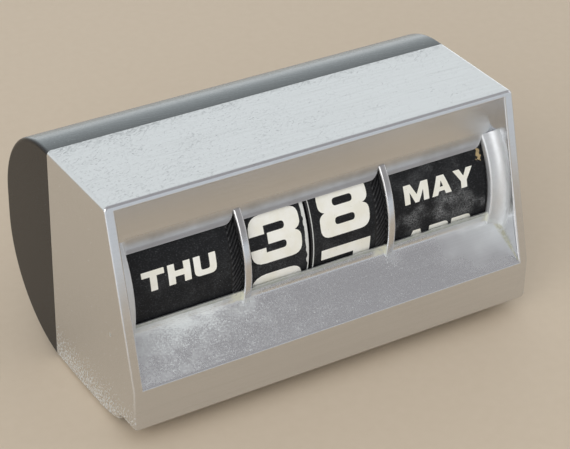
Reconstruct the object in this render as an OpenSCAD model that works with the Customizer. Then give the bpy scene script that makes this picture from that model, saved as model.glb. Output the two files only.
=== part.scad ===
// Perpetual desk calendar: four labelled drums on one axle, rolled by a finger through the
// window of a sloping silver case with a rounded black back.
// +Z is up, the window faces -Y, and the origin is the middle of the footprint on the table.

/* [Drums] */
// Radius of the drum wall that carries a label
drum_r = 25.8; // [24:0.1:27]
// Thickness of a drum wall
drum_wall = 1.8; // [1.2:0.1:3]
// Width of the weekday drum and of the month drum
word_drum_w = 35; // [30:0.5:42]
// Width of the tens drum
tens_drum_w = 19.2; // [16:0.2:24]
// Width of the ones drum
ones_drum_w = 23.2; // [18:0.2:28]
// Gap between two neighbouring drums
drum_gap = 0.5; // [0.4:0.05:0.8]
// Thickness of the web between the drum wall and the hub
web_t = 1.6; // [1:0.1:3]
// Outer radius of a drum hub
hub_r = 4.2; // [3.4:0.1:6]

/* [Finger rims] */
// Width of a toothed finger rim
rim_w = 3.3; // [2:0.1:5]
// Number of teeth round a finger rim
rim_teeth = 100; // [40:4:160]
// Depth of a tooth
tooth_h = 0.5; // [0.2:0.05:0.8]

/* [Labels] */
// Thickness of a paper label
label_t = 0.18; // [0.1:0.02:0.4]
// Glue line under a label
glue_t = 0.02; // [0.01:0.01:0.05]
// Bare strip of drum beside a label
label_margin = 0.45; // [0.2:0.05:1]

/* [Axle] */
// Radius of the axle
axle_r = 2; // [1.5:0.1:2.6]
// Radial clearance of a drum hub on the axle
running_fit = 0.05; // [0.02:0.01:0.1]
// Clearance between pieces that only have to go together
loose_fit = 0.1; // [0.05:0.05:0.2]
// Axial play beside each washer
axial_play = 0.05; // [0.03:0.01:0.08]
// Outer radius of a washer
washer_r = 4.8; // [4:0.1:6]
// Thickness of an axle clip
clip_t = 0.6; // [0.4:0.1:1]
// Outer radius of an axle clip
clip_r = 3.6; // [3.2:0.1:5]
// Depth of the clip groove in the axle
groove_h = 0.4; // [0.2:0.1:0.6]
// Free height of the friction spring
spring_h = 0.9; // [0.7:0.1:1.4]
// Sheet thickness of the friction spring
spring_t = 0.3; // [0.2:0.05:0.4]
// Length of the boss that carries an axle end
boss_len = 4; // [3:0.5:6]
// Radius of the boss that carries an axle end
boss_r = 5; // [4:0.1:5.5]

/* [Case] */
// Thickness of the side plates and of the ends of the rear cover
side_wall = 1.8; // [1.4:0.1:3]
// Thickness of the top
top_wall = 2; // [1.4:0.1:3]
// Thickness of the floor and of the rounded back
cover_wall = 2; // [1.8:0.1:3]
// Space over the labels
space_over = 3.2; // [3:0.1:6]
// Space under the labels
space_under = 2.9; // [1.5:0.1:5]
// Space behind the labels
space_behind = 4.5; // [2:0.1:8]
// Depth from the chin face to the front of the labels
recess_d = 12; // [10:0.1:16]
// Distance of the seam behind the axle
seam_behind_axle = 5.75; // [5.6:0.05:10]
// Gap at the seam between the silver and the black moulding
seam_gap = 0.15; // [0.1:0.05:0.3]
// Step down from the silver top to the black back
cover_step = 0.2; // [0:0.05:0.5]
// Radius of the upper bend of the back
back_top_r = 24; // [16:0.5:26]
// Radius of the lower bend of the back
back_low_r = 30.6; // [26:0.1:31]

/* [Front] */
// Height of the chin face
chin_h = 12; // [9:0.5:14]
// Height of the chin's lower edge over the table
chin_lift = 4.5; // [4:0.1:6]
// Thickness of the chin
chin_wall = 2; // [1.4:0.1:3]
// Distance of the front top edge behind the chin face
top_setback = 13; // [8:0.5:14]
// Width of the frame above the recess, measured down the front
frame_w = 1.7; // [1:0.1:3]
// Thickness of the panels of the recess
panel_t = 1.8; // [1.2:0.1:2.4]
// Gap between the labels and the panels of the recess
lip_gap = 1; // [0.8:0.1:1.5]
// Angle of the upper panel's edge above the axle
lip_top_angle = 37; // [36:1:42]
// Angle of the lower panel's edge below the axle
lip_low_angle = 15; // [13:1:18]
// Gap between the labels and the curved wall round the windows
shroud_gap = 0.5; // [0.45:0.05:0.6]
// Angle of a window's upper edge above the axle
window_top_angle = 33; // [28:0.5:35]
// Angle of a window's lower edge below the axle
window_low_angle = 8.5; // [5:0.5:12]
// Radius of the wall's corner over a finger rim, at the right end of a window's upper edge
window_corner_r = 2.7; // [1:0.1:3]
// Upright stretch of the upper panel above its lip
cove_h = 4.6; // [2:0.2:7]
// Distance of the flat part of the skirt behind the chin face
skirt_flat_y = 20; // [17:0.5:24]
// Distance of the front of the skirt behind the chin face
skirt_front_y = 9; // [8:0.5:12]
// Radius of the front of the skirt
skirt_r = 31; // [26:0.5:40]

/* [Dividers] */
// Width of a divider
divider_w = 2.2; // [1.6:0.1:3]
// Height of a divider and of an end arch over the labels
divider_proud = 2.2; // [1.6:0.1:3]
// Gap between the labels and a divider or an end arch
divider_gap = 0.4; // [0.3:0.05:0.8]
// Chamfer on the face of a divider
divider_chamfer = 0.55; // [0.2:0.05:0.7]
// Width of an end arch
arch_w = 4.6; // [3:0.1:6]
// Height by which an end arch flares out where it meets the side plate
arch_flare = 2; // [0.5:0.1:3]
// Gap between an end drum and its side plate
end_gap = 1.25; // [0.8:0.05:2]

/* [Fixings] */
// Radius of a screw shank
screw_r = 1.3; // [1:0.1:1.5]
// Length of a screw under its head
screw_len = 7; // [5:0.5:9]
// Radius of a screw head
screw_head_r = 2.5; // [2.1:0.1:3]
// Height of a screw head
screw_head_h = 1.2; // [0.9:0.1:1.4]
// Distance of a screw from the middle
screw_x = 30; // [20:1:38]
// Wall of plastic round a screw
screw_wall = 1.9; // [1.4:0.1:2.4]
// Height of the pad on the floor under a screw boss
screw_pad_h = 1; // [0.6:0.1:1.4]
// Depth of a screw head inside the floor
screw_sink = 0.3; // [0.2:0.1:0.5]
// Depth of the ledge behind the chin
ledge_d = 21; // [19:0.5:23]
// Thickness of the ledge behind the chin
ledge_t = 1.8; // [1.4:0.1:2.4]
// Length of the hook under the silver top
hook_len = 3; // [2:0.5:4]
// Thickness of the hook under the silver top
hook_t = 1.2; // [0.8:0.1:1.6]
// Radius of a rubber foot
foot_r = 4; // [3:0.5:6]
// Height of a foot under the floor
foot_proud = 0.4; // [0.2:0.1:1]
// Depth of a foot pocket in the floor
foot_pocket = 1; // [0.5:0.1:1.2]
// Distance of a foot from the side plates
foot_inset = 10; // [8:0.5:16]
// Distance of the front feet behind the chin face
foot_front_y = 17; // [15:0.5:20]
// Distance of the rear feet behind the axle
foot_behind_axle = 5; // [0:0.5:6]

/* [Hidden] */
$fn = 96;

// Heights are from the table, depths (y) are from the chin face until placed() centres them.
label_r = drum_r + glue_t + label_t;
lip_r = label_r + lip_gap;
shroud_r = label_r + shroud_gap;
divider_r = label_r + divider_proud;
axis_y = recess_d + label_r;
floor_top = foot_proud + cover_wall;
axis_z = floor_top + space_under + label_r;
case_h = axis_z + label_r + space_over + top_wall;
case_d = axis_y + label_r + space_behind + cover_wall;
seam_y = axis_y + seam_behind_axle;
cover_h = case_h - cover_step;

// Ends of the drums along the axle
stack_w = 2 * word_drum_w + tens_drum_w + ones_drum_w + 3 * drum_gap;
weekday_x = -stack_w / 2;
tens_x = weekday_x + word_drum_w + drum_gap;
ones_x = tens_x + tens_drum_w + drum_gap;
month_x = ones_x + ones_drum_w + drum_gap;
inner_half = stack_w / 2 + end_gap;
case_half = inner_half + side_wall;
divider_x = month_x - (drum_gap + divider_w) / 2;
arch_x = inner_half - arch_w;

// Stack on the axle, from the boss faces inwards
boss_face = inner_half - boss_len;
clip_face = boss_face - loose_fit - clip_t;
washer_t = drum_gap - 2 * axial_play;
left_washer_x = -clip_face + axial_play;
left_hub_x = left_washer_x + washer_t + axial_play;
right_washer_end = clip_face - spring_h;
right_hub_end = right_washer_end - washer_t - 2 * axial_play;

// Front outline
chin_top = chin_lift + chin_h;
front_slope = top_setback / (case_h - chin_top);
frame_z = case_h - frame_w;
frame_y = (frame_z - chin_top) * front_slope;
lip_top = [axis_y - lip_r * cos(lip_top_angle), axis_z + lip_r * sin(lip_top_angle)];
lip_low = [axis_y - lip_r * cos(lip_low_angle), axis_z - lip_r * sin(lip_low_angle)];
low_rise = (lip_low[1] - chin_top) / lip_low[0];
low_panel_drop = panel_t * sqrt(1 + low_rise * low_rise);
window_mid = (window_top_angle - window_low_angle) / 2;
ledge_top = chin_lift + ledge_t;
skirt_angle = asin((skirt_flat_y - skirt_front_y) / skirt_r);
front_reach = (axis_y - (axis_z - chin_top) * front_slope) / sqrt(1 + front_slope * front_slope);

// Screws
screw_boss_r = screw_r + screw_wall;
screw_y = ledge_d - screw_boss_r - loose_fit;
screw_seat_z = foot_proud + screw_sink + screw_head_h;
screw_pad_z = floor_top + screw_pad_h;
screw_tip_z = screw_seat_z + screw_len;

// Number of straight steps along the upper panel's curve and along the skirt's
curve_steps = 8;
// Depth by which two shapes of one piece run into each other
join = 0.4;
// Angles by which a rib and the curved wall round the windows run on into the panels
rib_run_on = 4;
shroud_run_on = 3;
// Depth by which the arc at a window's end starts under the window's edge
arc_sink = 0.1;

// Moves a piece from chin-face depths to the middle of the footprint.
module placed() {
    translate([0, -case_d / 2, 0])
        children();
}

// Extrudes a side outline, drawn as depth and height, from x over a width.
module slab(x, width) {
    translate([x, 0, 0])
        rotate([90, 0, 90])
            linear_extrude(width)
                children();
}

// Lays a shape drawn upright at the origin along the axle from x.
module on_axle(x) {
    translate([x, axis_y, axis_z])
        rotate([0, 90, 0])
            children();
}

module tube(outer, inner, height) {
    difference() {
        cylinder(r = outer, h = height);
        translate([0, 0, -join])
            cylinder(r = inner, h = height + 2 * join);
    }
}

// Point of the upper panel's face, from the frame at 0 to its cut end inside the chamber at 1.
function cove_point(t) =
    let (knee = [lip_top[0], lip_top[1] + cove_h], end = [lip_top[0], lip_top[1] - panel_t])
    (1 - t) * (1 - t) * [frame_y, frame_z] + 2 * t * (1 - t) * knee + t * t * end;

// Points of the skirt from its flat part forwards and up to its front.
skirt = [
    for (i = [0:curve_steps])
        let (a = skirt_angle * i / curve_steps)
        [skirt_flat_y - skirt_r * sin(a), foot_proud + skirt_r * (1 - cos(a))]
];
skirt_front_z = skirt[curve_steps][1];

module side_outline() {
    polygon(concat(
        [[0, chin_lift], [0, chin_top], [top_setback, case_h], [seam_y, case_h], [seam_y, foot_proud]],
        skirt,
        [[skirt_front_y - cover_wall, chin_lift]]
    ));
}

// The two sections run on past their lips into the round chamber that is cut for the drums.
module top_section() {
    back_y = lip_top[0] + panel_t;
    end_z = lip_top[1] - panel_t;
    polygon(concat(
        [[top_setback, case_h]],
        [for (i = [0:curve_steps]) cove_point(i / curve_steps)],
        [[back_y, end_z], [back_y, case_h - top_wall], [seam_y, case_h - top_wall], [seam_y, case_h]]
    ));
}

module chin_section() {
    end_y = lip_low[0] + panel_t;
    end_z = chin_top + end_y * low_rise;
    polygon([
        [0, chin_lift],
        [0, chin_top],
        [end_y, end_z],
        [end_y, end_z - low_panel_drop],
        [chin_wall, chin_top + chin_wall * low_rise - low_panel_drop],
        [chin_wall, ledge_top],
        [ledge_d, ledge_top],
        [ledge_d, chin_lift]
    ]);
}

// Keeps of a shape round the axle the sector in front of it that runs on into both panels.
module front_sector(x, width, run_on) {
    reach = 2 * divider_r;
    intersection() {
        children();
        slab(x - join, width + 2 * join)
            polygon(concat(
                [[axis_y, axis_z]],
                [for (a = [-lip_low_angle - run_on, 0, lip_top_angle + run_on])
                    [axis_y - reach * cos(a), axis_z + reach * sin(a)]]
            ));
    }
}

// Curved wall that follows the drums from one panel to the other.
module shroud() {
    width = 2 * (inner_half + join);
    front_sector(-width / 2, width, shroud_run_on)
        on_axle(-width / 2)
            tube(lip_r, shroud_r - join, width);
}

// Cutter for one window between two ribs, along the direction of its middle. The right end of its
// upper edge turns up beside the rib in an arc.
module window(x, width) {
    half_h = shroud_r * sin((window_top_angle + window_low_angle) / 2);
    corner = window_corner_r;
    translate([x, axis_y, axis_z])
        rotate([90 - window_mid, 0, 0])
            linear_extrude(divider_r + join) {
                translate([-join, -half_h])
                    square([width + 2 * join, 2 * half_h]);
                translate([width - corner, half_h - join])
                    difference() {
                        square([corner + join, corner + join]);
                        translate([0, corner + join - arc_sink])
                            circle(r = corner);
                    }
            }
}

// Curved rib that follows the drums across the front from x, with a profile of radius and width.
module window_rib(x, width, profile) {
    front_sector(x, width, rib_run_on)
        on_axle(x)
            rotate_extrude()
                polygon(profile);
}

module divider() {
    inner = label_r + divider_gap;
    edge = divider_r - divider_chamfer;
    profile = [
        [inner, 0],
        [edge, 0],
        [divider_r, divider_chamfer],
        [divider_r, divider_w - divider_chamfer],
        [edge, divider_w],
        [inner, divider_w]
    ];
    window_rib(divider_x, divider_w, profile);
}

// Wide rib over the end of a drum, which flares out into the side plate.
module end_arch() {
    inner = label_r + divider_gap;
    flare_r = min(divider_r + arch_flare, front_reach - join);
    flare_x = arch_w - (flare_r - divider_r);
    profile = [
        [inner, 0],
        [divider_r - divider_chamfer, 0],
        [divider_r, divider_chamfer],
        [divider_r, flare_x],
        [flare_r, arch_w],
        [flare_r, arch_w + join],
        [inner, arch_w + join]
    ];
    window_rib(arch_x, arch_w + join, profile);
}

// Boss for an axle end, with a slot that is open towards the back.
module axle_boss() {
    slot_r = axle_r + running_fit;
    difference() {
        on_axle(boss_face)
            cylinder(r = boss_r, h = boss_len + join);
        on_axle(boss_face - join)
            cylinder(r = slot_r, h = boss_len - loose_fit + join);
        translate([boss_face - join, axis_y, axis_z - slot_r])
            cube([boss_len - loose_fit + join, boss_r + join, 2 * slot_r]);
    }
}

module front_case() {
    placed()
        color("silver")
            union() {
                difference() {
                    union() {
                        slab(-inner_half - join, 2 * (inner_half + join))
                            top_section();
                        slab(-inner_half - join, 2 * (inner_half + join))
                            chin_section();
                        shroud();
                        for (x = [-screw_x, screw_x])
                            translate([x, screw_y, screw_pad_z + loose_fit])
                                cylinder(r = screw_boss_r, h = screw_tip_z + screw_wall - screw_pad_z);
                    }
                    on_axle(-inner_half - 2 * join)
                        cylinder(r = shroud_r, h = 2 * (inner_half + 2 * join));
                    for (x = [-arch_x, divider_x + divider_w])
                        window(x, arch_x - divider_x - divider_w);
                    window(-divider_x, 2 * divider_x);
                    for (x = [-screw_x, screw_x])
                        translate([x, screw_y, 0])
                            cylinder(r = screw_r + running_fit, h = screw_tip_z + loose_fit);
                }
                for (side = [0, 1])
                    mirror([side, 0, 0]) {
                        slab(inner_half, side_wall)
                            side_outline();
                        divider();
                        end_arch();
                        axle_boss();
                    }
            }
}

// Side outline of the black back with its two bends, drawn in by an inset except at the seam.
module back_outline(inset) {
    top_y = case_d - back_top_r;
    top_z = cover_h - back_top_r;
    low_y = case_d - back_low_r;
    low_z = foot_proud + back_low_r;
    intersection() {
        translate([seam_y + seam_gap, foot_proud + inset])
            square([case_d, cover_h - foot_proud - 2 * inset]);
        union() {
            translate([low_y, low_z])
                circle(r = back_low_r - inset);
            square([low_y, case_h]);
            translate([0, low_z])
                square([case_d - inset, case_h]);
        }
        union() {
            translate([top_y, top_z])
                circle(r = back_top_r - inset);
            square([top_y, case_h]);
            square([case_d - inset, top_z]);
        }
    }
}

// Side outline of the floor: along the skirt, with a lip up to the ledge, and into the back's bend.
module floor_outline() {
    low_y = case_d - back_low_r;
    low_z = foot_proud + back_low_r;
    lip_z = chin_lift - loose_fit;
    lip_back = skirt_front_y + cover_wall;
    polygon(concat(
        [[low_y, floor_top], [low_y, foot_proud]],
        skirt,
        [[skirt_front_y, lip_z], [lip_back, lip_z], [lip_back, skirt_front_z + cover_wall]],
        [[skirt_flat_y, floor_top]]
    ));
    intersection() {
        difference() {
            translate([low_y, low_z])
                circle(r = back_low_r);
            translate([low_y, low_z])
                circle(r = back_low_r - cover_wall);
        }
        translate([low_y - join, 0])
            square([seam_y + seam_gap + 2 * join - low_y, floor_top + cover_wall]);
    }
}

module rear_cover() {
    start_y = seam_y + seam_gap;
    floor_half = inner_half - loose_fit;
    tongue_x = boss_face + loose_fit;
    tongue_y = axis_y + axle_r + loose_fit;
    tongue_h = 2 * (axle_r - loose_fit);
    tongue_w = boss_len - 3 * loose_fit;
    hook_z = case_h - top_wall - loose_fit - hook_t;
    tongue_root = 2 * cover_wall;
    hook_half = inner_half - boss_len;
    placed()
        color([0.03, 0.03, 0.03])
            difference() {
                union() {
                    difference() {
                        slab(-case_half, 2 * case_half)
                            back_outline(0);
                        slab(-inner_half, 2 * inner_half)
                            back_outline(cover_wall);
                    }
                    slab(-floor_half, 2 * floor_half)
                        floor_outline();
                    for (x = [-screw_x, screw_x])
                        translate([x, screw_y, floor_top - join])
                            cylinder(r = screw_head_r + screw_wall, h = screw_pad_h + join);
                    translate([-hook_half, seam_y - hook_len, hook_z])
                        cube([2 * hook_half, hook_len + seam_gap + cover_wall, hook_t]);
                    translate([-hook_half, start_y, hook_z])
                        cube([2 * hook_half, cover_wall, cover_h - cover_wall - hook_z + join]);
                    for (side = [0, 1])
                        mirror([side, 0, 0]) {
                            translate([tongue_x, tongue_y, axis_z - tongue_h / 2])
                                cube([tongue_w, start_y + tongue_root - tongue_y, tongue_h]);
                            translate([tongue_x, start_y, axis_z - tongue_h / 2])
                                cube([inner_half + join - tongue_x, tongue_root, tongue_h]);
                        }
                }
                for (x = [-screw_x, screw_x])
                    translate([x, screw_y, 0]) {
                        cylinder(r = screw_head_r + loose_fit, h = screw_seat_z);
                        cylinder(r = screw_r + loose_fit, h = screw_pad_z + join);
                    }
                for (x = [-1, 1])
                    for (y = [foot_front_y, axis_y + foot_behind_axle])
                        translate([x * (inner_half - foot_inset), y, 0])
                            cylinder(r = foot_r + loose_fit, h = foot_proud + foot_pocket);
            }
}

module axle() {
    end = inner_half - 2 * loose_fit;
    groove_r = axle_r - groove_h;
    placed()
        color("lightsteelblue")
            difference() {
                on_axle(-end)
                    cylinder(r = axle_r, h = 2 * end);
                for (x = [-clip_face - clip_t, clip_face])
                    on_axle(x)
                        tube(axle_r + join, groove_r, clip_t);
            }
}

// Open ring that snaps into a groove of the axle.
module axle_clip(x) {
    groove_r = axle_r - groove_h;
    play = axial_play / 2;
    placed()
        color("gray")
            on_axle(x + play)
                difference() {
                    tube(clip_r, groove_r + running_fit, clip_t - 2 * play);
                    translate([0, -groove_r, -join])
                        cube([clip_r + join, 2 * groove_r, clip_t + 2 * join]);
                }
}

module left_axle_clip() {
    axle_clip(-clip_face - clip_t);
}

module right_axle_clip() {
    axle_clip(clip_face);
}

// Ring of pointed teeth for a fingertip.
module finger_rim() {
    tip_r = label_r;
    root_r = label_r - tooth_h;
    pitch = 360 / rim_teeth;
    difference() {
        linear_extrude(rim_w)
            polygon([
                for (i = [0:rim_teeth - 1])
                    for (half = [0, 1])
                        let (r = half == 0 ? tip_r : root_r, a = pitch * (i + half / 2))
                        r * [cos(a), sin(a)]
            ]);
        translate([0, 0, -join])
            cylinder(r = drum_r - drum_wall, h = rim_w + 2 * join);
    }
}

// Drum from x over a width, with its hub from hub_x to hub_end and, if asked, a finger rim on its right.
module drum(x, width, hub_x, hub_end, rim) {
    plain_w = rim ? width - rim_w : width;
    web_x = x + (width - web_t) / 2;
    placed()
        color([0.06, 0.06, 0.06])
            difference() {
                union() {
                    on_axle(x)
                        tube(drum_r, drum_r - drum_wall, plain_w);
                    if (rim)
                        on_axle(x + plain_w)
                            finger_rim();
                    on_axle(web_x)
                        cylinder(r = drum_r - drum_wall / 2, h = web_t);
                    on_axle(hub_x)
                        cylinder(r = hub_r, h = hub_end - hub_x);
                }
                on_axle(hub_x - join)
                    cylinder(r = axle_r + running_fit, h = hub_end - hub_x + 2 * join);
            }
}

module weekday_drum() {
    drum(weekday_x, word_drum_w, left_hub_x, weekday_x + word_drum_w, true);
}

module tens_drum() {
    drum(tens_x, tens_drum_w, tens_x, tens_x + tens_drum_w, false);
}

module ones_drum() {
    drum(ones_x, ones_drum_w, ones_x, ones_x + ones_drum_w, true);
}

module month_drum() {
    drum(month_x, word_drum_w, month_x, right_hub_end, true);
}

// Paper strip glued round a drum from x over a width, clear of both edges.
module label(x, width) {
    placed()
        color([0.08, 0.08, 0.08])
            on_axle(x + label_margin)
                tube(label_r, drum_r + glue_t, width - 2 * label_margin);
}

module weekday_label() {
    label(weekday_x, word_drum_w - rim_w);
}

module tens_label() {
    label(tens_x, tens_drum_w);
}

module ones_label() {
    label(ones_x, ones_drum_w - rim_w);
}

module month_label() {
    label(month_x, word_drum_w - rim_w);
}

module washer(x) {
    placed()
        color("tan")
            on_axle(x)
                tube(washer_r, axle_r + loose_fit, washer_t);
}

module left_end_washer() {
    washer(left_washer_x);
}

module weekday_tens_washer() {
    washer(tens_x - axial_play - washer_t);
}

module tens_ones_washer() {
    washer(ones_x - axial_play - washer_t);
}

module ones_month_washer() {
    washer(month_x - axial_play - washer_t);
}

module right_end_washer() {
    washer(right_washer_end - axial_play - washer_t);
}

// Cone of sheet steel whose narrow end bears on the right clip.
module friction_spring() {
    narrow_r = axle_r + 2 * loose_fit;
    wide_r = washer_r;
    rise = spring_h - spring_t - axial_play;
    placed()
        color("gray")
            on_axle(right_washer_end)
                rotate_extrude()
                    polygon([
                        [wide_r, 0],
                        [wide_r, spring_t],
                        [narrow_r, rise + spring_t],
                        [narrow_r, rise]
                    ]);
}

module case_screws() {
    slot_w = screw_r / 2;
    slot_h = screw_head_h / 2;
    slot_reach = (screw_r + screw_head_r) / 2;
    placed()
        color("gray")
            for (x = [-screw_x, screw_x])
                translate([x, screw_y, screw_seat_z - screw_head_h])
                    difference() {
                        union() {
                            cylinder(r = screw_head_r, h = screw_head_h);
                            cylinder(r = screw_r, h = screw_head_h + screw_len);
                        }
                        for (turn = [0, 90])
                            rotate([0, 0, turn])
                                translate([-slot_w / 2, -slot_reach, -join])
                                    cube([slot_w, 2 * slot_reach, slot_h + join]);
                    }
}

module foot(side, y) {
    placed()
        color([0.1, 0.1, 0.1])
            translate([side * (inner_half - foot_inset), y, 0])
                cylinder(r = foot_r, h = foot_proud + foot_pocket);
}

module foot_front_left() {
    foot(-1, foot_front_y);
}

module foot_front_right() {
    foot(1, foot_front_y);
}

module foot_rear_left() {
    foot(-1, axis_y + foot_behind_axle);
}

module foot_rear_right() {
    foot(1, axis_y + foot_behind_axle);
}

front_case();
rear_cover();
axle();
left_axle_clip();
right_axle_clip();
weekday_drum();
tens_drum();
ones_drum();
month_drum();
weekday_label();
tens_label();
ones_label();
month_label();
left_end_washer();
weekday_tens_washer();
tens_ones_washer();
ones_month_washer();
right_end_washer();
friction_spring();
case_screws();
foot_front_left();
foot_front_right();
foot_rear_left();
foot_rear_right();
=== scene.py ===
from functools import reduce
from math import acos, asin, atan2, cos, hypot, pi, radians, sin, sqrt, tau

import bmesh
import bpy
from mathutils import Matrix, Vector


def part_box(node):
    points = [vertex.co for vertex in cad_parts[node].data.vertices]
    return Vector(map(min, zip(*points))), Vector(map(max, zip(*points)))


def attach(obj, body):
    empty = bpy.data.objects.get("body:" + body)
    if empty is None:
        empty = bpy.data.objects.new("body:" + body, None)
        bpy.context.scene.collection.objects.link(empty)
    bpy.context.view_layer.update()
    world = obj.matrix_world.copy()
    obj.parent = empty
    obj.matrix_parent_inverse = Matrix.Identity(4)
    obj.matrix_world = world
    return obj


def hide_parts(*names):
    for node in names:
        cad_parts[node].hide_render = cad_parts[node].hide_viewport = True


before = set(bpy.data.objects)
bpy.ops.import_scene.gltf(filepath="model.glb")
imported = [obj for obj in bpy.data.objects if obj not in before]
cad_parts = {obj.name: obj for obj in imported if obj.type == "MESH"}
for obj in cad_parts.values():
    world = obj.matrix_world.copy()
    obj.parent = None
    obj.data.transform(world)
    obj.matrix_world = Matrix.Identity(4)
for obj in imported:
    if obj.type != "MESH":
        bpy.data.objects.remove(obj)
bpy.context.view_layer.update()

# Pieces are modelled in millimetres, in the frame's own axes, and scaled to metres when done.
MM = 0.001


def box_mm(node):
    """Lowest and highest corner of a CAD node in millimetres."""
    low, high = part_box(node)
    return low / MM, high / MM


# Sizes that come from the frame
CASE_LOW, CASE_HIGH = box_mm("front_case")
COVER_LOW, COVER_HIGH = box_mm("rear_cover")
LABEL_LOW, LABEL_HIGH = box_mm("weekday_label")
HALF_W = CASE_HIGH.x
FRONT_Y = CASE_LOW.y
SEAM_Y = CASE_HIGH.y
TOP_Z = CASE_HIGH.z
FLOOR_Z = COVER_LOW.z
COVER_TOP_Z = COVER_HIGH.z
BACK_Y = COVER_HIGH.y
AXLE_Y = (LABEL_LOW.y + LABEL_HIGH.y) / 2
AXLE_Z = (LABEL_LOW.z + LABEL_HIGH.z) / 2
LABEL_R = (LABEL_HIGH.z - LABEL_LOW.z) / 2

# Sizes of the silver case
SIDE_WALL = 1.8
INNER_W = HALF_W - SIDE_WALL
RECESS_W = HALF_W - 2.8
TOP_WALL = 2.0
CHIN_Z = CASE_LOW.z + 4.1
CHIN_TOP_Z = CHIN_Z + 12.0
CHIN_WALL = 2.0
LEDGE_Y = FRONT_Y + 21.0
LEDGE_T = 1.8
SETBACK = 13.0
FRAME_W = 1.7
FRAME_LEDGE = 1.3
PANEL_T = 1.8
LIP_R = LABEL_R + 1.0
LIP_TOP = radians(37)
LIP_LOW = radians(15)
SKIRT_FLAT_Y = FRONT_Y + 20.0
SKIRT_FRONT_Y = FRONT_Y + 9.0
SKIRT_R = 31.0
CASE_EDGE_R = 1.3
FRONT_EDGE_R = 0.6
FRAME_EDGE_R = 0.5

# Sizes of the ribs over the drums
RIB_R = LABEL_R + 2.2
RIB_INNER_R = LABEL_R + 0.4
RIB_EDGE_R = 0.6
DIVIDER_W = 2.2
DIVIDER_X = 21.7
ARCH_W = 3.6
ARCH_FILLET = 2.7
RIB_LOW = LIP_LOW + radians(5)
RIB_HIGH = LIP_TOP + radians(2.3)
RIB_END_R = 0.3

# Sizes of the curved wall round the drums and of its windows
SHROUD_R = LABEL_R + 0.5
COVE_END = radians(33.6)
COVE_H = 3.74
LIP_FILLET = 1.6
WINDOW_TOP = radians(33)
WINDOW_LOW = radians(8.5)
WINDOW_CORNER = 3.0
WINDOW_EDGE_R = 0.14
# Distance by which a piece runs into its neighbour
JOIN = 0.4
# Distance under which two points are one
SAME_PLACE = 0.0005

# Sizes of the black back
SEAM_GAP = 0.15
COVER_WALL = 2.0
BACK_TOP_R = 24.0
BACK_LOW_R = 30.6
BACK_EDGE_R = 1.1
SCREW_HEAD_T = 1.2


def extruded(points, step):
    """Closed solid from a flat outline of points that is drawn out by a step."""
    bm = bmesh.new()
    face = bm.faces.new([bm.verts.new(point) for point in points])
    grown = bmesh.ops.extrude_face_region(bm, geom=[face])
    moved = [g for g in grown["geom"] if isinstance(g, bmesh.types.BMVert)]
    bmesh.ops.translate(bm, vec=step, verts=moved)
    bmesh.ops.recalc_face_normals(bm, faces=bm.faces)
    return bm


def prism(outline, x0, x1):
    """Closed solid from an outline of (y, z) points, from x0 to x1."""
    return extruded([(x0, y, z) for y, z in outline], (x1 - x0, 0, 0))


def round_edges(bm, edges, radius, steps=4):
    bmesh.ops.bevel(bm, geom=edges, offset=radius, offset_type="OFFSET", segments=steps, profile=0.5,
                    affect="EDGES", material=-1, clamp_overlap=False, loop_slide=True)


def edges_where(bm, test):
    """Edges whose two ends both pass a test of a point."""
    return [e for e in bm.edges if all(test(v.co) for v in e.verts)]


def mesh_of(name, bm):
    mesh = bpy.data.meshes.new(name)
    bm.to_mesh(mesh)
    bm.free()
    return mesh


def in_scene(name, data):
    """New object of a mesh, a camera or a lamp in the scene."""
    obj = bpy.data.objects.new(name, data)
    bpy.context.scene.collection.objects.link(obj)
    return obj


def combined(bm, tool, operation):
    """The exact boolean of two closed solids."""
    blanks = [in_scene("blank", mesh_of("blank", part)) for part in (bm, tool)]
    step = blanks[0].modifiers.new("boolean", "BOOLEAN")
    step.operation = operation
    step.solver = "EXACT"
    step.object = blanks[1]
    made = bmesh.new()
    made.from_object(blanks[0], bpy.context.evaluated_depsgraph_get())
    for blank in blanks:
        mesh = blank.data
        bpy.data.objects.remove(blank)
        bpy.data.meshes.remove(mesh)
    bmesh.ops.remove_doubles(made, verts=made.verts, dist=SAME_PLACE)
    bmesh.ops.dissolve_degenerate(made, edges=made.edges, dist=SAME_PLACE)
    return made


def arc(centre, radius, start, end, steps):
    """Points (y, z) of an arc, with angles in radians from +Y towards +Z."""
    turns = [start + (end - start) * i / steps for i in range(steps + 1)]
    return [(centre[0] + radius * cos(a), centre[1] + radius * sin(a)) for a in turns]


def curve(start, knee, end, steps):
    """Points of a curve between two ends that leaves and arrives along the lines to its knee."""
    shares = [i / steps for i in range(steps + 1)]
    return [(1 - t) ** 2 * start + 2 * t * (1 - t) * knee + t * t * end for t in shares]


def on_ring(radius, angle):
    """Point (y, z) in front of the axle, at an angle above the horizontal."""
    return (AXLE_Y - radius * cos(angle), AXLE_Z + radius * sin(angle))


def off_axle(point):
    return hypot(point.y - AXLE_Y, point.z - AXLE_Z)


def near(a, b):
    return abs(a - b) < 0.01


# Silver case
FRONT_SLOPE = SETBACK / (TOP_Z - CHIN_TOP_Z)
FRAME_Z = TOP_Z - FRAME_W
FRAME_Y = FRONT_Y + (FRAME_Z - CHIN_TOP_Z) * FRONT_SLOPE
LIP_TOP_Y = on_ring(LIP_R, LIP_TOP)[0]
LIP_LOW_Y, LIP_LOW_Z = on_ring(LIP_R, -LIP_LOW)
LOW_RISE = (LIP_LOW_Z - CHIN_TOP_Z) / (LIP_LOW_Y - FRONT_Y)
# Distance by which a cutter stands clear of what it cuts
CLEAR = 3.0
# Angles between faces above which an edge is rounded
FRONT_CREASE = 0.4
WINDOW_CREASE = 0.7


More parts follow.
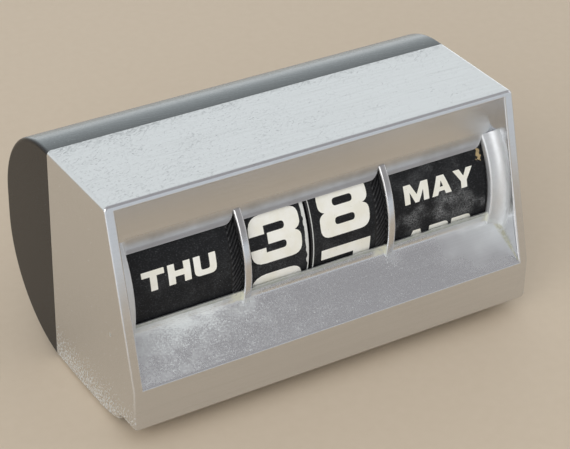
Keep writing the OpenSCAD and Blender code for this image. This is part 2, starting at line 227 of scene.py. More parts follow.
def skirt_points():
    turn = asin((SKIRT_FLAT_Y - SKIRT_FRONT_Y) / SKIRT_R)
    return arc((SKIRT_FLAT_Y, FLOOR_Z + SKIRT_R), SKIRT_R, -pi / 2, -pi / 2 - turn, steps=10)


def cove_points(steps):
    """Face of the upper panel from under the frame down to the curved wall, without a crease."""
    end = Vector(on_ring(LIP_R, COVE_END))
    knee = end + COVE_H * Vector((sin(COVE_END), cos(COVE_END)))
    return curve(Vector((FRAME_Y + FRAME_LEDGE, FRAME_Z)), knee, end, steps)


def lip_points(steps):
    """Fillet from the lower panel up to the curved wall."""
    corner = Vector((LIP_LOW_Y, LIP_LOW_Z))
    start = corner - LIP_FILLET * Vector((1, LOW_RISE)).normalized()
    end = Vector(on_ring(LIP_R, LIP_FILLET / LIP_R - LIP_LOW))
    return curve(start, corner, end, steps)


def end_edges(bm, seam_y):
    """Edges round both ends of a prism as wide as the case, apart from those at its seam."""
    sides = edges_where(bm, lambda p: near(abs(p.x), HALF_W))
    sides = [e for e in sides if near(e.verts[0].co.x, e.verts[1].co.x)]
    return [e for e in sides if not all(near(v.co.y, seam_y) for v in e.verts)]


def case_block():
    """Full outside of the case with its rounded outer edges."""
    outline = [(FRONT_Y, CHIN_Z), (FRONT_Y, CHIN_TOP_Z), (FRONT_Y + SETBACK, TOP_Z), (SEAM_Y, TOP_Z)]
    outline += [(SEAM_Y, FLOOR_Z)] + skirt_points() + [(SKIRT_FRONT_Y - COVER_WALL, CHIN_Z)]
    bm = prism(outline, -HALF_W, HALF_W)

    def on_front(p):
        return near(p.y, FRONT_Y + max(0, p.z - CHIN_TOP_Z) * FRONT_SLOPE)

    sides = [e for e in end_edges(bm, SEAM_Y) if not all(on_front(v.co) for v in e.verts)]
    round_edges(bm, sides, CASE_EDGE_R, steps=5)
    fronts = [e for e in edges_where(bm, on_front) if e.calc_face_angle(0) > FRONT_CREASE]
    round_edges(bm, fronts, FRONT_EDGE_R)
    return bm


def case_inside():
    """Cutter for the hollow behind the panels, the drum chamber and the open underside."""
    panel_back = LIP_TOP_Y + PANEL_T
    top_turn = acos((AXLE_Y - panel_back) / SHROUD_R)
    drop = PANEL_T * sqrt(1 + LOW_RISE ** 2)
    past_lip = radians(4)
    low_turn = LIP_LOW + past_lip
    ledge_top = CHIN_Z + LEDGE_T
    chin_back = FRONT_Y + CHIN_WALL
    steps = 32
    chamber = [on_ring(SHROUD_R, top_turn - (top_turn + low_turn) * i / steps) for i in range(steps + 1)]
    outline = [(SEAM_Y + CLEAR, TOP_Z - TOP_WALL), (panel_back, TOP_Z - TOP_WALL)] + chamber
    outline += [(chin_back, CHIN_TOP_Z + CHIN_WALL * LOW_RISE - drop), (chin_back, ledge_top)]
    outline += [(LEDGE_Y, ledge_top), (LEDGE_Y, CHIN_Z), (FRONT_Y + CLEAR, CHIN_Z)]
    outline += [(FRONT_Y + CLEAR, -CLEAR), (SEAM_Y + CLEAR, -CLEAR)]
    hidden_step = 0.1
    return prism(outline, -INNER_W + hidden_step, INNER_W - hidden_step)


def case_recess():
    """Cutter for the sloping recess in front of the drums, down to the curved wall round them."""
    chin_drop = 0.04
    low_y = FRONT_Y - CLEAR
    low_z = CHIN_TOP_Z - chin_drop - CLEAR * LOW_RISE
    wall_low = LIP_FILLET / LIP_R - LIP_LOW
    steps = 24
    wall = [on_ring(LIP_R, wall_low + (COVE_END - wall_low) * i / steps) for i in range(1, steps)]
    cove = cove_points(steps=18)[::-1]
    outline = [(low_y, low_z)] + lip_points(steps=6) + wall + cove + [(low_y, FRAME_Z)]
    return prism(outline, -RECESS_W, RECESS_W)


def rib(x0, profile, top_round=0):
    """Solid rib over the drums: a profile of (x, radius) points swept round the axle."""
    bm = bmesh.new()
    face = bm.faces.new([bm.verts.new((x0 + x, AXLE_Y - r, AXLE_Z)) for x, r in profile])
    centre = (0, AXLE_Y, AXLE_Z)
    sweep = -(RIB_HIGH + RIB_LOW)
    bmesh.ops.rotate(bm, cent=centre, matrix=Matrix.Rotation(RIB_LOW, 3, "X"), verts=bm.verts)
    end = bmesh.ops.spin(bm, geom=[face], cent=centre, axis=(1, 0, 0), angle=sweep, steps=26)
    bmesh.ops.recalc_face_normals(bm, faces=bm.faces)
    if top_round:
        tip = [g for g in end["geom_last"] if isinstance(g, bmesh.types.BMFace)]
        rim = [e for e in tip[0].edges if all(off_axle(v.co) > LIP_R for v in e.verts)]
        round_edges(bm, rim, top_round, steps=3)
    return bm


def quarter_turn(steps):
    return [pi / 2 * i / steps for i in range(steps + 1)]


def rib_edge(x0, quarter):
    """Round left edge of a rib's profile."""
    edge = RIB_EDGE_R
    return [(x0 + edge - edge * cos(a), RIB_R - edge + edge * sin(a)) for a in quarter]


def divider_profile():
    """Flat blade with round edges towards the viewer."""
    half = DIVIDER_W / 2
    left = rib_edge(-half, quarter_turn(5))
    right = [(-x, r) for x, r in left[::-1]]
    return [(-half, RIB_INNER_R)] + left + right + [(half, RIB_INNER_R)]


def arch_profile():
    """Wide rib with a round edge on the drum side and a hollow fillet into the side plate."""
    quarter = quarter_turn(6)
    sink = 0.03
    start = ARCH_W + sink - ARCH_FILLET
    fillet = [(start + ARCH_FILLET * sin(a), RIB_R + ARCH_FILLET * (1 - cos(a))) for a in quarter]
    into = ARCH_W + JOIN
    end = [(into, RIB_R + ARCH_FILLET), (into, RIB_INNER_R)]
    return [(0, RIB_INNER_R)] + rib_edge(0, quarter) + fillet + end


def window_cutter(x0, x1):
    """Cutter along the middle of a window. The right end of its upper edge turns up beside the rib."""
    half = SHROUD_R * sin((WINDOW_TOP + WINDOW_LOW) / 2)
    centre = (x1 - WINDOW_CORNER, half + WINDOW_CORNER)
    turn_up = arc(centre, WINDOW_CORNER, 0, -pi / 2, steps=10)
    left = x0 - JOIN
    right = x1 + JOIN
    outline = [(left, half), (left, -half), (right, -half), (right, half + WINDOW_CORNER)]
    far_y = AXLE_Y - SHROUD_R - CLEAR
    bm = extruded([(x, far_y, AXLE_Z + rise) for x, rise in outline + turn_up], (0, 3 * CLEAR, 0))
    middle = (WINDOW_TOP - WINDOW_LOW) / 2
    bmesh.ops.rotate(bm, cent=(0, AXLE_Y, AXLE_Z), matrix=Matrix.Rotation(-middle, 3, "X"), verts=bm.verts)
    return bm


def with_windows(bm):
    """Cuts a window for each group of drums into the curved wall."""
    arch_x = RECESS_W - ARCH_W
    divider_out = DIVIDER_X + DIVIDER_W / 2
    divider_in = DIVIDER_X - DIVIDER_W / 2
    for x0, x1 in ((-arch_x, -divider_out), (-divider_in, divider_in), (divider_out, arch_x)):
        bm = combined(bm, window_cutter(x0, x1), "DIFFERENCE")

    def on_window(p):
        turn = atan2(p.z - AXLE_Z, AXLE_Y - p.y)
        outside = off_axle(p) > LIP_R - 0.05
        return outside and -WINDOW_LOW - 0.02 < turn < LIP_TOP + 0.05 and abs(p.x) < RECESS_W - 1

    rims = [e for e in edges_where(bm, on_window) if e.calc_face_angle(0) > WINDOW_CREASE]
    round_edges(bm, rims, WINDOW_EDGE_R, steps=2)
    return bm


def mirrored(bm):
    bmesh.ops.scale(bm, vec=(-1, 1, 1), verts=bm.verts)
    bmesh.ops.reverse_faces(bm, faces=bm.faces)
    return bm


def case_shell():
    bm = combined(case_block(), case_inside(), "DIFFERENCE")
    bm = combined(bm, case_recess(), "DIFFERENCE")

    def on_front(p):
        return near(p.y, FRONT_Y + (p.z - CHIN_TOP_Z) * FRONT_SLOPE) and abs(p.x) < RECESS_W + 0.05

    def on_chin(p):
        return near(p.y, FRONT_Y) and abs(p.z - CHIN_TOP_Z) < 0.1 and abs(p.x) < RECESS_W + 0.05

    bm = with_windows(bm)
    for turned in (False, True):
        arch = rib(RECESS_W - ARCH_W, arch_profile())
        bm = combined(bm, mirrored(arch) if turned else arch, "UNION")
    for x in (-DIVIDER_X, DIVIDER_X):
        bm = combined(bm, rib(x, divider_profile(), RIB_END_R), "UNION")
    rims = set(edges_where(bm, on_front) + edges_where(bm, on_chin))
    round_edges(bm, list(rims), FRAME_EDGE_R)
    return bm


# Black back
BACK_LOW_CENTRE = (BACK_Y - BACK_LOW_R, FLOOR_Z + BACK_LOW_R)
FEET = ("foot_front_left", "foot_front_right", "foot_rear_left", "foot_rear_right")


def back_outline(inset):
    top_centre = (BACK_Y - BACK_TOP_R, COVER_TOP_Z - BACK_TOP_R)
    start = SEAM_Y + SEAM_GAP - (CLEAR if inset else 0)
    low_start = -acos((start - BACK_LOW_CENTRE[0]) / (BACK_LOW_R - inset))
    low = arc(BACK_LOW_CENTRE, BACK_LOW_R - inset, low_start, 0, steps=32)
    top = arc(top_centre, BACK_TOP_R - inset, 0, pi / 2, steps=32)
    return low + top + [(start, COVER_TOP_Z - inset)]


def floor_outline():
    """Floor plate that runs along the skirt, with a lip behind the chin."""
    flush = 0.02
    end = acos((SEAM_Y + SEAM_GAP + 1 - BACK_LOW_CENTRE[0]) / BACK_LOW_R)
    outer = arc(BACK_LOW_CENTRE, BACK_LOW_R - flush, -pi / 2, -end, steps=6)
    inner = arc(BACK_LOW_CENTRE, BACK_LOW_R - COVER_WALL, -end, -pi / 2, steps=6)
    lip_y = SKIRT_FRONT_Y + COVER_WALL
    lip_z = CHIN_Z - 0.1
    lip = [(SKIRT_FLAT_Y, FLOOR_Z + COVER_WALL), (lip_y, lip_z), (SKIRT_FRONT_Y, lip_z)]
    return outer + inner + lip + skirt_points()[::-1]


def peg(x, y, z0, z1, radius):
    """Upright round cutter."""
    bm = bmesh.new()
    bmesh.ops.create_cone(bm, cap_ends=True, segments=40, radius1=radius, radius2=radius, depth=z1 - z0)
    bmesh.ops.translate(bm, vec=(x, y, (z0 + z1) / 2), verts=bm.verts)
    return bm


def back_shell():
    bm = prism(back_outline(0), -HALF_W, HALF_W)
    round_edges(bm, end_edges(bm, SEAM_Y + SEAM_GAP), BACK_EDGE_R)
    bm = combined(bm, prism(back_outline(COVER_WALL), -INNER_W, INNER_W), "DIFFERENCE")
    fit = 0.1
    bm = combined(bm, prism(floor_outline(), -INNER_W + fit, INNER_W - fit), "UNION")
    for node in FEET:
        low, high = box_mm(node)
        middle = (low + high) / 2
        pocket = peg(middle.x, middle.y, -CLEAR, high.z, (high.x - low.x) / 2 + fit)
        bm = combined(bm, pocket, "DIFFERENCE")
    low, high = box_mm("case_screws")
    screw_y = (low.y + high.y) / 2
    head_r = (high.y - low.y) / 2
    for x in (low.x + head_r, high.x - head_r):
        bm = combined(bm, peg(x, screw_y, -CLEAR, low.z + SCREW_HEAD_T, head_r + fit), "DIFFERENCE")
    return bm


# Drums
DRUM_R = LABEL_R - 0.2
DRUM_WALL = 1.8
WEB_T = 1.6
HUB_R = 4.2
BORE_R = 2.05
LABEL_MARGIN = 0.45
RIM_W = 3.3
RIM_TEETH = 100
RIM_STEPS = 4 * RIM_TEETH
PLAIN_STEPS = 160
RIM_TIP_R = LABEL_R
RIM_ROOT_R = LABEL_R - 0.5
# Teeth that a slanted tooth passes on its way across the rim
RIM_SLANT = 3


def rim_point(co, rim_x):
    """Moves a point of the plain rim onto the slanted teeth."""
    angle = atan2(co.z - AXLE_Z, AXLE_Y - co.y)
    place = round(angle / tau * RIM_STEPS) % 4
    radius = RIM_ROOT_R if place < 2 else RIM_TIP_R
    angle += RIM_SLANT * tau / RIM_TEETH * (co.x - rim_x) / RIM_W
    return Vector((co.x, *on_ring(radius, angle)))


def drum(name, rim):
    """Turned drum with a wall, a web and a hub, and a toothed finger rim at its right end if asked."""
    low, high = box_mm(name + "_drum")
    label_low, label_high = box_mm(name + "_label")
    left = label_low.x - LABEL_MARGIN
    rim_x = label_high.x + LABEL_MARGIN
    right = rim_x + (RIM_W if rim else 0)
    web = (left + right - WEB_T) / 2
    bare_r = DRUM_R - DRUM_WALL
    soft = 0.25
    fillet = 0.8
    profile = [(low.x, BORE_R), (low.x, HUB_R - soft), (low.x + soft, HUB_R), (web - fillet, HUB_R)]
    profile += [(web, HUB_R + fillet), (web, bare_r - fillet), (web - fillet, bare_r), (left + soft, bare_r)]
    profile += [(left, bare_r + soft), (left, DRUM_R - soft), (left + soft, DRUM_R)]
    if rim:
        rows = 6
        profile += [(rim_x, DRUM_R)]
        profile += [(rim_x + soft + (RIM_W - 2 * soft) * i / rows, RIM_TIP_R) for i in range(rows + 1)]
        profile += [(right, RIM_ROOT_R - soft)]
    else:
        profile += [(right - soft, DRUM_R), (right, DRUM_R - soft)]
    profile += [(right, bare_r + soft), (right - soft, bare_r), (web + WEB_T + fillet, bare_r)]
    profile += [(web + WEB_T, bare_r - fillet), (web + WEB_T, HUB_R + fillet), (web + WEB_T + fillet, HUB_R)]
    profile += [(high.x - soft, HUB_R), (high.x, HUB_R - soft), (high.x, BORE_R)]
    bm = bmesh.new()
    ring = [bm.verts.new((x, AXLE_Y - r, AXLE_Z)) for x, r in profile]
    edges = [bm.edges.new((a, b)) for a, b in zip(ring, ring[1:] + ring[:1])]
    bmesh.ops.spin(bm, geom=edges, cent=(0, AXLE_Y, AXLE_Z), axis=(1, 0, 0), angle=tau,
                   steps=RIM_STEPS if rim else PLAIN_STEPS, use_merge=True)
    if rim:
        for v in bm.verts:
            if off_axle(v.co) > RIM_TIP_R - 0.05:
                v.co = rim_point(v.co, rim_x)
    bmesh.ops.recalc_face_normals(bm, faces=bm.faces)
    return bm


# Printed figures and words
# Places across a character, each a share of its width or height and a number of stems or bars
PLACES = ((0, 0), (0, 1), (0.5, -0.5), (0.5, 0.5), (1, -1), (1, 0))
COLUMNS = dict(zip("abcdef", PLACES))
ROWS = dict(zip("012345", PLACES))
# Outlines of the characters: column and row of each corner, by name or as a share. A capital column is
# a round corner, and an upright stroke starts a hole.
GLYPHS = {
    "0": "A/0 F/0 F/5 A/5|B/1 B/4 E/4 E/1",
    "1": "c/0 d/0 d/5 c/5 .12/.84 .12/.62 .345/.74",
    "2": "a/0 f/0 f/1 b/1 b/2 F/2 F/5 A/5 a/.64 b/.64 b/4 e/4 e/3 A/3",
    "3": "A/0 F/0 F/.485 .885/.525 F/.565 F/5 A/5 a/.61 b/.61 b/4 E/4 E/3 c/3 c/2 E/2 E/1 b/1 b/.33 a/.33",
    "4": ".56/0 .87/0 .87/.18 f/.18 f/.38 .87/.38 .87/5 .46/5 a/.40 a/.18 .56/.18|.56/.38 .56/.78 .27/.38",
    "5": "A/0 F/0 F/3 b/3 b/4 f/4 f/5 a/5 a/2 E/2 E/1 b/1 b/.36 a/.36",
    "6": "A/0 F/0 F/3 b/3 B/4 e/4 e/.66 f/.66 F/5 A/5|B/1 B/2 E/2 E/1",
    "7": "a/5 f/5 f/.66 .62/0 .27/0 .66/.60 .66/4 a/4",
    "8": "A/0 F/0 F/.485 .885/.525 F/.565 F/5 A/5 A/.565 .115/.525 A/.485|B/1 B/2 E/2 E/1|B/3 B/4 E/4 E/3",
    "9": "F/5 A/5 A/2 e/2 E/1 b/1 b/.34 a/.34 A/0 F/0|E/4 E/3 B/3 B/4",
    "A": "a/0 .32/5 .68/5 f/0 .70/0 .64/.2 .36/.2 .30/0|.42/.42 .5/.74 .58/.42",
    "B": "a/0 F/0 F/.485 .885/.525 F/.565 F/5 a/5|b/1 b/2 E/2 E/1|b/3 b/4 E/4 E/3",
    "C": "A/0 F/0 f/.36 e/.36 e/1 B/1 B/4 e/4 e/.64 f/.64 F/5 A/5",
    "D": "a/0 F/0 F/5 a/5|b/1 b/4 E/4 E/1",
    "E": "a/0 f/0 f/1 b/1 b/2 .9/2 .9/3 b/3 b/4 f/4 f/5 a/5",
    "F": "a/0 b/0 b/2 .9/2 .9/3 b/3 b/4 f/4 f/5 a/5",
    "G": "A/0 F/0 f/3 c/3 c/2 e/2 e/1 B/1 B/4 e/4 e/.68 f/.68 F/5 A/5",
    "H": "a/0 b/0 b/2 e/2 e/0 f/0 f/5 e/5 e/3 b/3 b/5 a/5",
    "I": "a/0 f/0 f/5 a/5",
    "J": "A/0 F/0 f/5 e/5 e/1 b/1 b/.4 a/.4",
    "L": "a/0 f/0 f/1 b/1 b/5 a/5",
    "M": "a/0 .22/0 .22/.6 .42/0 .58/0 .78/.6 .78/0 f/0 f/5 .72/5 .5/.42 .28/5 a/5",
    "N": "a/0 b/0 b/.58 .70/0 f/0 f/5 e/5 e/.42 .30/5 a/5",
    "O": "A/0 F/0 F/5 A/5|B/1 B/4 E/4 E/1",
    "P": "a/0 b/0 b/.30 F/.30 F/5 a/5|b/.53 b/4 E/4 E/.53",
    "R": "a/0 b/0 b/.32 .50/.32 .66/0 f/0 .80/.34 F/.36 F/5 a/5|b/.56 b/4 E/4 E/.56",
    "S": "A/0 F/0 F/3 b/3 b/4 e/4 e/.70 f/.70 F/5 A/5 A/2 e/2 e/1 b/1 b/.30 a/.30",
    "T": "c/0 d/0 d/4 f/4 f/5 a/5 a/4 c/4",
    "U": "A/0 F/0 f/5 e/5 E/1 B/1 b/5 a/5",
    "V": ".36/0 .64/0 f/5 .70/5 .5/.36 .30/5 a/5",
    "W": ".14/0 .38/0 .5/.5 .62/0 .86/0 f/5 .78/5 .71/.42 .59/5 .41/5 .29/.42 .22/5 a/5",
    "Y": "c/0 d/0 d/.38 f/5 .68/5 .5/.62 .32/5 a/5 c/.38",
}
GLYPH_WIDTHS = {"I": 0.31, "M": 1.22, "W": 1.3}
PRINT_T = 0.03
CRISP_R = 0.12


def softened(corners, steps=5):
    """Closed outline with each corner rounded to its own radius, or less where a side is short."""
    points = []
    for i, (corner, radius) in enumerate(corners):
        last, last_radius = corners[i - 1]
        after, after_radius = corners[(i + 1) % len(corners)]
        to_last = last - corner
        to_next = after - corner
        reach = min(radius, 0.98 * to_last.length * radius / (radius + last_radius),
                    0.98 * to_next.length * radius / (radius + after_radius))
        start = corner + to_last.normalized() * reach
        end = corner + to_next.normalized() * reach
        points += curve(start, corner, end, steps)
    return points


def spot_along(place, places, size, unit):
    """Distance of a column or a row from the start of a character."""
    if place[0] == ".":
        return float(place) * size
    share, units = places[place]
    return share * size + units * unit


def glyph_outlines(sign, width, height, stem, bar, outer_r, inner_r):
    """Rounded outlines of one character in millimetres, the body first and then its holes."""
    rounds = {"A": outer_r, "F": outer_r, "B": inner_r, "E": inner_r}
    for part in GLYPHS[sign].split("|"):
        corners = []
        for token in part.split():
            column, row = token.split("/")
            x = spot_along(column.lower(), COLUMNS, width, stem)
            y = spot_along(row, ROWS, height, bar)
            corners.append((Vector((x, y)), rounds.get(column, CRISP_R)))
        yield softened(corners)


def printed(bm, word, x, angle, height, width, stem, bar, gap, outer_r, inner_r):
    """Adds a word in the middle of a place on a label, as thin ink that follows the drum."""
    widths = [width * GLYPH_WIDTHS.get(sign, 1) for sign in word]
    at = x - (sum(widths) + gap * (len(word) - 1)) / 2
    flat = bpy.data.curves.new("ink", "CURVE")
    flat.dimensions = "2D"
    flat.fill_mode = "BOTH"
    flat.extrude = PRINT_T / 2
    for sign, wide in zip(word, widths):
        for outline in glyph_outlines(sign, wide, height, stem, bar, outer_r, inner_r):
            spline = flat.splines.new("POLY")
            spline.points.add(len(outline) - 1)
            for point, place in zip(spline.points, outline):
                point.co = (at + place.x, place.y - height / 2, 0, 1)
            spline.use_cyclic_u = True
        at += wide + gap
    blank = bpy.data.objects.new("ink", flat)
    mesh = bpy.data.meshes.new_from_object(blank)
    bpy.data.objects.remove(blank)
    bpy.data.curves.remove(flat)
    ink = bmesh.new()
    ink.from_mesh(mesh)
    bpy.data.meshes.remove(mesh)
    bmesh.ops.remove_doubles(ink, verts=ink.verts, dist=2 * SAME_PLACE)
    cut = LABEL_R * radians(2)
    rows = int(height / cut) + 1
    for i in range(rows):
        geom = ink.verts[:] + ink.edges[:] + ink.faces[:]
        at_row = (0, (i - rows / 2 + 0.5) * cut, 0)
        bmesh.ops.bisect_plane(ink, geom=geom, dist=SAME_PLACE, plane_co=at_row, plane_no=(0, 1, 0))
    for v in ink.verts:
        v.co = Vector((v.co.x, *on_ring(LABEL_R + v.co.z, angle + v.co.y / LABEL_R)))
    bmesh.ops.recalc_face_normals(ink, faces=ink.faces)
    mesh = mesh_of("ink", ink)
    bm.from_mesh(mesh)
    bpy.data.meshes.remove(mesh)


def print_ring(words, shown, x, angle, **style):
    """All the words of one label, one word per step round the drum."""
    bm = bmesh.new()
    step = tau / len(words)
    for i, word in enumerate(words):
        printed(bm, word, x, radians(angle) + (i - words.index(shown)) * step, **style)
    return bm


WORD_STYLE = dict(height=5.3, width=6.3, stem=1.9, bar=1.5, gap=0.95, outer_r=1.7, inner_r=0.7)
FIGURE_STYLE = dict(height=13.1, width=15.0, stem=4.5, bar=3.0, gap=0, outer_r=4.4, inner_r=1.5)
WEEKDAYS = ["MON", "TUE", "WED", "THU", "FRI", "SAT", "SUN"]
MONTHS = ["JAN", "FEB", "MAR", "APR", "MAY", "JUNE", "JULY", "AUG", "SEPT", "OCT", "NOV", "DEC"]
FIGURES = list("0123456789")


# Pieces
SHARP_ANGLE = radians(32)


def piece(name, bm, body, material, replaces=()):
    """Object of a finished solid in millimetres, riding on a body."""
    bmesh.ops.scale(bm, vec=(MM, MM, MM), verts=bm.verts)
    mesh = mesh_of(name, bm)
    mesh.materials.append(material)
    mesh.shade_smooth()
    mesh.set_sharp_from_angle(angle=SHARP_ANGLE)
    obj = in_scene(name, mesh)
    even = obj.modifiers.new("even_shading", "WEIGHTED_NORMAL")
    even.keep_sharp = True
    even.weight = 100
    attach(obj, body)
    if replaces:
        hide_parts(*replaces)
    return obj


# Nodes of the finishes
def put(tree, kind, links=None, **settings):
    """New node with its settings, and with a value or a link for each socket that is named."""
    made = tree.nodes.new("ShaderNode" + kind)
    for name, value in settings.items():
        setattr(made, name, value)
    for name, value in (links or {}).items():
        if isinstance(value, bpy.types.NodeSocket):
            tree.links.new(value, made.inputs[name])
        else:
            made.inputs[name].default_value = value
    return made


def maths(tree, operation, a, b=0.0):
    return put(tree, "Math", {0: a, 1: b}, operation=operation).outputs[0]


def minus(tree, a, b):
    return maths(tree, "SUBTRACT", a, b)


def largest(tree, *values):
    return reduce(lambda a, b: maths(tree, "MAXIMUM", a, b), values)


def product(tree, *values):
    return reduce(lambda a, b: maths(tree, "MULTIPLY", a, b), values)


def total(tree, *values):
    return reduce(lambda a, b: maths(tree, "ADD", a, b), values)


def weighted(tree, start, *parts):
    """A start plus each part times its weight."""
    return total(tree, start, *[product(tree, part, weight) for part, weight in parts])


def ramp(tree, value, low, high):
    """Smooth step from 0 at low to 1 at high."""
    return put(tree, "MapRange", {"Value": value, "From Min": low, "From Max": high},
               interpolation_type="SMOOTHSTEP").outputs["Result"]


def between(tree, share, first, second):
    """Value that goes from the first to the second as the share goes from 0 to 1."""
    return put(tree, "MapRange", {"Value": share, "To Min": first, "To Max": second}).outputs["Result"]


def tint(tree, share, first, second):
    """Colour that goes from the first to the second as the share goes from 0 to 1."""
    colours = [c if isinstance(c, bpy.types.NodeSocket) else (*c, 1) for c in (first, second)]
    return put(tree, "Mix", {0: share, 6: colours[0], 7: colours[1]}, data_type="RGBA").outputs[2]


def noise(tree, vector, scale, detail=2.0):
    return put(tree, "TexNoise", {"Vector": vector, "Scale": scale, "Detail": detail}).outputs[0]


def new_group(name, inputs, output):
    """Empty node group with named sockets, which are numbers apart from the one named Vector."""
    group = bpy.data.node_groups.new(name, "ShaderNodeTree")
    for label in inputs:
        kind = "NodeSocketVector" if label == "Vector" else "NodeSocketFloat"
        group.interface.new_socket(label, in_out="INPUT", socket_type=kind)
    group.interface.new_socket(output, in_out="OUTPUT", socket_type="NodeSocketFloat")
    into = group.nodes.new("NodeGroupInput").outputs
    out = group.nodes.new("NodeGroupOutput").inputs[output]
    return group, into, out


def threshold(tree, field, cover):
    """Share of a noise field that is over a level, which falls as the cover grows."""
    level = minus(tree, 0.72, product(tree, cover, 0.45))
    return ramp(tree, field, level, total(tree, level, 0.07))


def zone_group():
    group, into, out = new_group("zone", ("Value", "Low", "High", "Soft"), "Mask")
    ends = []
    for limit in ("Low", "High"):
        under = minus(group, into[limit], into["Soft"])
        over = total(group, into[limit], into["Soft"])
        ends.append(ramp(group, into["Value"], under, over))
    group.links.new(minus(group, *ends), out)
    return group


def specks_group():
    group, into, out = new_group("specks", ("Vector", "Size", "Cover"), "Mask")
    field = noise(group, into["Vector"], maths(group, "DIVIDE", 1.0, into["Size"]), 3.0)
    group.links.new(threshold(group, field, into["Cover"]), out)
    return group


def scratches_group():
    sockets = ("Vector", "Turn", "Length", "Width", "Cover")
    group, into, out = new_group("scratches", sockets, "Mask")
    turned = put(group, "VectorRotate", {"Vector": into["Vector"], "Angle": into["Turn"]},
                 rotation_type="Z_AXIS").outputs[0]
    across = maths(group, "DIVIDE", 1.0, into["Width"])
    along = maths(group, "DIVIDE", 1.0, into["Length"])
    stretch = put(group, "CombineXYZ", {"X": along, "Y": across, "Z": across}).outputs[0]
    drawn = put(group, "VectorMath", {0: turned, 1: stretch}, operation="MULTIPLY").outputs[0]
    group.links.new(threshold(group, noise(group, drawn, 1.0, 1.0), into["Cover"]), out)
    return group


def grain_group():
    group, into, out = new_group("grain", ("Vector", "Size"), "Height")
    group.links.new(noise(group, into["Vector"], maths(group, "DIVIDE", 1.0, into["Size"]), 4.0), out)
    return group


ZONE = zone_group()
SPECKS = specks_group()
SCRATCHES = scratches_group()
GRAIN = grain_group()


def zone(tree, value, low, high, soft):
    """1 where a value is between two limits and 0 elsewhere, with soft ends."""
    links = {"Value": value, "Low": low, "High": high, "Soft": soft}
    return put(tree, "Group", links, node_tree=ZONE).outputs[0]


def specks(tree, place, size, cover):
    return put(tree, "Group", {"Vector": place, "Size": size, "Cover": cover}, node_tree=SPECKS).outputs[0]


def scratches(tree, place, turn, length, width, cover):
    links = {"Vector": place, "Turn": radians(turn), "Length": length, "Width": width, "Cover": cover}
    return put(tree, "Group", links, node_tree=SCRATCHES).outputs[0]


def grain(tree, place, size):
    return put(tree, "Group", {"Vector": place, "Size": size}, node_tree=GRAIN).outputs[0]


def new_material(name):
    """Material with its tree, its shader and the place of a point in millimetres."""
    made = bpy.data.materials.new(name)
    made.use_nodes = True
    tree = made.node_tree
    spot = put(tree, "TexCoord").outputs["Object"]
    place = put(tree, "VectorMath", {0: spot, "Scale": 1 / MM}, operation="SCALE").outputs[0]
    return made, tree, tree.nodes["Principled BSDF"], place


def axes(tree, place):
    return put(tree, "SeparateXYZ", {0: place}).outputs[:]


def ring_radius(tree, y, z):
    """Distance of a point from the axle."""
    behind = minus(tree, y, AXLE_Y)
    above = minus(tree, z, AXLE_Z)
    squares = total(tree, product(tree, behind, behind), product(tree, above, above))
    return maths(tree, "SQRT", squares)


def connect(tree, shader, height=None, depth=0.0, **values):
    """Links colour, roughness and metallic to the shader, and a height in millimetres as its bump."""
    names = {"colour": "Base Color", "roughness": "Roughness", "metallic": "Metallic"}
    for name, value in values.items():
        if isinstance(value, bpy.types.NodeSocket):
            tree.links.new(value, shader.inputs[names[name]])
        else:
            shader.inputs[names[name]].default_value = value
    if height:
        bump = put(tree, "Bump", {"Height": height, "Distance": depth * MM})
        tree.links.new(bump.outputs[0], shader.inputs["Normal"])


# Finishes
SILVER_TONE = (0.70, 0.71, 0.725)
SILVER_SHADE = (0.64, 0.645, 0.655)
FLECK_TONE = (0.15, 0.16, 0.17)
# Tone of white dust, also used for the painted highlight at the right end of the lower panel
DUST_AND_GLOW_TONE = (0.72, 0.75, 0.75)
DIRT_TONE = (0.36, 0.39, 0.34)
LINT_TONE = (0.66, 0.66, 0.55)
VALLEY_TONE = (0.46, 0.45, 0.33)
# Tone of the painted shade in the band over the windows
BROW_SHADE_TONE = (0.28, 0.26, 0.23)
BACK_TONES = ((0.008, 0.0075, 0.0075), (0.015, 0.014, 0.014))
BACK_SCUFF_TONE = (0.09, 0.09, 0.09)
BACK_SPECK_TONE = (0.3, 0.3, 0.29)
# Tone of the painted sky reflection on the top of the black back
BACK_SHEEN_TONE = (0.38, 0.43, 0.45)
DRUM_TONES = ((0.006, 0.006, 0.007), (0.016, 0.016, 0.017))
DRUM_WORN_TONE = (0.030, 0.030, 0.032)
DRUM_SPECK_TONE = (0.12, 0.12, 0.12)
PAPER_TONES = ((0.003, 0.0032, 0.004), (0.016, 0.017, 0.019))
PAPER_FIBRE_TONE = (0.07, 0.074, 0.082)
PAPER_SPECK_TONE = (0.22, 0.23, 0.24)
PAPER_RUB_TONE = (0.23, 0.235, 0.24)
# Tone of the paper's white core, also used for the painted highlight along a label's left edge
PAPER_CORE_AND_HIGHLIGHT_TONE = (0.80, 0.81, 0.78)
PAPER_TORN_TONE = (0.56, 0.42, 0.22)
INK_TONES = ((0.90, 0.89, 0.83), (0.85, 0.83, 0.73))
INK_SPECK_TONE = (0.30, 0.28, 0.22)
SKIN_SPECK_TONE = (0.4, 0.4, 0.38)
RIMMED = ("weekday", "ones", "month")
RIM_MIDDLES = [box_mm(name + "_label")[1].x + LABEL_MARGIN + RIM_W / 2 for name in RIMMED]
# Heights of the windows' lower edge and of the foot of the wall under it
SILL_Z = AXLE_Z - LIP_R * sin(WINDOW_LOW) + 0.1
WALL_FOOT_Z = AXLE_Z - LIP_R * sin(LIP_LOW) + LIP_FILLET


def layered(tree, colour, layers):
    """Colour with a tone over it for each share."""
    for share, tone in layers:
        colour = tint(tree, share, colour, tone)
    return colour


def over_panel(tree, y, z):
    """Height of a point over the lower panel."""
    run = product(tree, minus(tree, y, FRONT_Y), LOW_RISE)
    return minus(tree, minus(tree, z, CHIN_TOP_Z), run)


